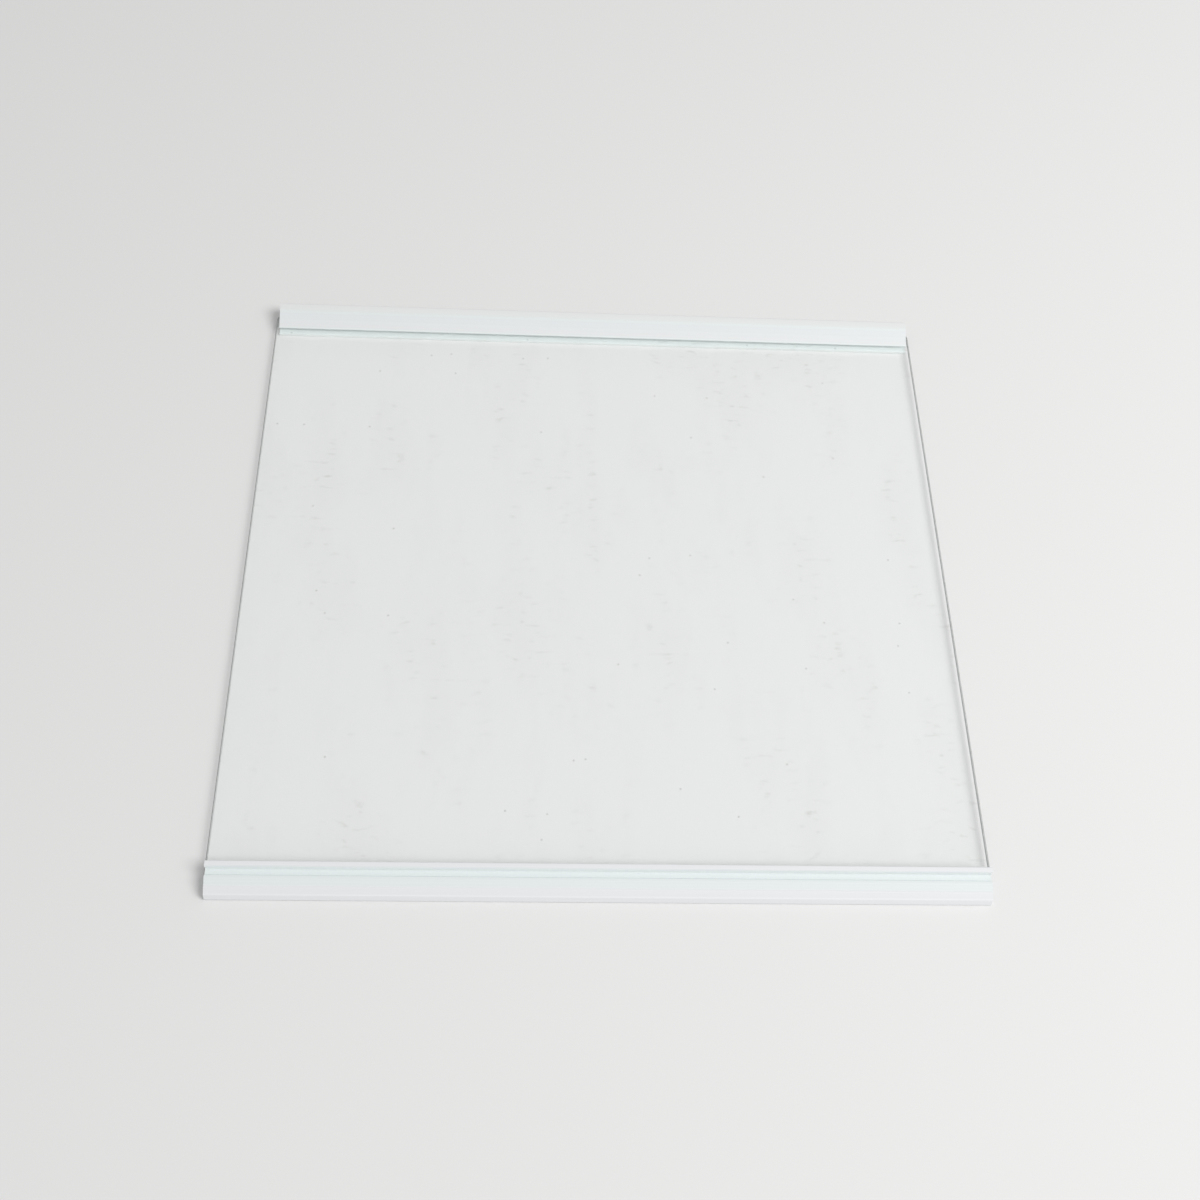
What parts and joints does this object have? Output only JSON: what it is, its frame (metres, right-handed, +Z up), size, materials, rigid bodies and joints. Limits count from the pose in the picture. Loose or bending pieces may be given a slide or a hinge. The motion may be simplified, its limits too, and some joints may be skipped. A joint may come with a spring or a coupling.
{
  "type": "freezer shelf",
  "caption": "Rectangular clear glass freezer shelf with a hollow white plastic trim along its front edge and a raised one along its rear edge.",
  "frame": {"origin": "middle of the footprint, on the plane that the undersides of both trims rest on", "axes": "+X along the trims towards the shelf's right side, +Y from the front trim towards the rear trim, +Z up"},
  "size_m": [0.45, 0.43, 0.012],
  "materials": {
    "glass": "polished faces with ground edges",
    "white_plastic": "satin gloss"
  },
  "bodies": {
    "root": {"glass_pane": "glass", "front_trim": "white_plastic", "rear_trim": "white_plastic"}
  },
  "joints": []
}
